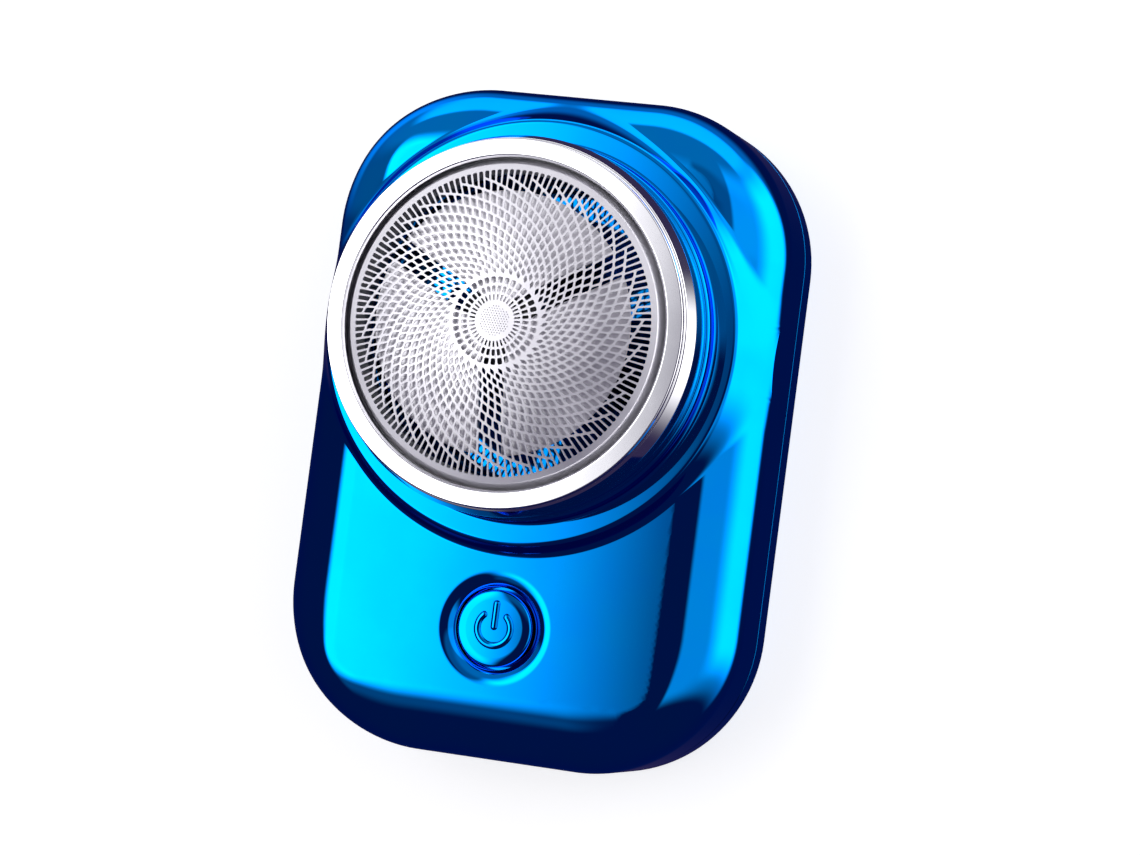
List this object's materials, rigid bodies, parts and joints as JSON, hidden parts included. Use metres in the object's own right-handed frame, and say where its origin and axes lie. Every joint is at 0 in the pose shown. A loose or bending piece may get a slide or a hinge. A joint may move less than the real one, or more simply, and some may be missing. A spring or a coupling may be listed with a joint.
{
  "type": "electric shaver",
  "caption": "Pocket rotary shaver with a plated rounded body, a round domed foil head in a bright ring and a push power button.",
  "frame": {"origin": "middle of the footprint on the plane of the flat back, on which the shaver lies", "axes": "+Z out of the face along the head's axis, +Y towards the head end, +X to the right when looking at the face"},
  "size_m": [0.0476, 0.068, 0.0306],
  "materials": {
    "plated_blue": "ABS, vacuum plated in a transparent blue over bright metal, mirror gloss",
    "chrome": "bright polished chrome plating",
    "foil_steel": "thin etched steel, satin",
    "cutter_steel": "ground steel",
    "black_plastic": "moulded, fine texture",
    "grey_plastic": "moulded, fine texture",
    "white_plastic": "moulded acetal",
    "clear_plastic": "clear moulded",
    "rubber": "moulded silicone",
    "foam": "closed-cell foam tape",
    "zinc_steel": "bright zinc plated",
    "spring_steel": "drawn bright steel",
    "magnet": "bonded ferrite",
    "copper": "enamelled copper winding on a laminated core",
    "circuit_green": "glass-epoxy with green solder mask",
    "battery_wrap": "aluminised pouch",
    "red_wire": "silicone insulated",
    "black_wire": "silicone insulated"
  },
  "bodies": {
    "housing": {"front_shell": "plated_blue", "rear_shell": "plated_blue", "shell_gasket": "rubber", "head_seal": "rubber", "spindle_seal": "rubber", "rear_screw_1": "zinc_steel", "rear_screw_2": "zinc_steel", "rear_screw_3": "zinc_steel", "rear_screw_4": "zinc_steel", "motor_cradle": "black_plastic", "cradle_screw_1": "zinc_steel", "cradle_screw_2": "zinc_steel", "motor_can": "zinc_steel", "motor_magnet": "magnet", "motor_end_cap": "white_plastic", "motor_pad": "foam", "battery": "battery_wrap", "battery_pad": "foam", "circuit_board": "circuit_green", "board_screw_1": "zinc_steel", "board_screw_2": "zinc_steel", "switch_body": "black_plastic", "button_seal": "rubber", "charging_socket": "zinc_steel", "socket_contacts": "black_plastic", "charge_led": "white_plastic", "light_pipe": "clear_plastic", "battery_lead_red": "red_wire", "battery_lead_black": "black_wire", "motor_lead_red": "red_wire", "motor_lead_black": "black_wire"},
    "rotor": {"motor_shaft": "spring_steel", "motor_armature": "copper", "drive_spindle": "white_plastic", "cutter_spring": "spring_steel"},
    "cutter": {"cutter_carrier": "black_plastic", "inner_cutter": "cutter_steel"},
    "head": {"head_ring": "chrome", "foil_retainer": "grey_plastic"},
    "foil_unit": {"foil": "foil_steel", "foil_rim": "grey_plastic"},
    "button": {"power_button": "plated_blue", "switch_plunger": "white_plastic"}
  },
  "joints": [
    {"name": "head_lift", "type": "slide", "parent": "housing", "child": "head", "axis": [0, 0, 1], "range_m": [0, 0.016]},
    {"name": "foil_float", "type": "slide", "parent": "head", "child": "foil_unit", "axis": [0, 0, 1], "range_m": [-0.0008, 0], "stiffness_N_per_m": 500, "springref_m": 0.0006},
    {"name": "rotor_spin", "type": "hinge", "parent": "housing", "child": "rotor", "pos_m": [0, 0.0091, 0.0195], "axis": [0, 0, 1], "continuous": true},
    {"name": "cutter_float", "type": "slide", "parent": "rotor", "child": "cutter", "axis": [0, 0, 1], "range_m": [-0.0008, 0], "deforming": ["cutter_spring"]},
    {"name": "button_press", "type": "slide", "parent": "housing", "child": "button", "axis": [0, 0, 1], "range_m": [-0.0005, 0], "stiffness_N_per_m": 2500, "springref_m": 0.0002, "deforming": ["button_seal"]}
  ],
  "couplings": [
    {"joint": "cutter_float", "follows": "foil_float", "ratio": 1}
  ]
}
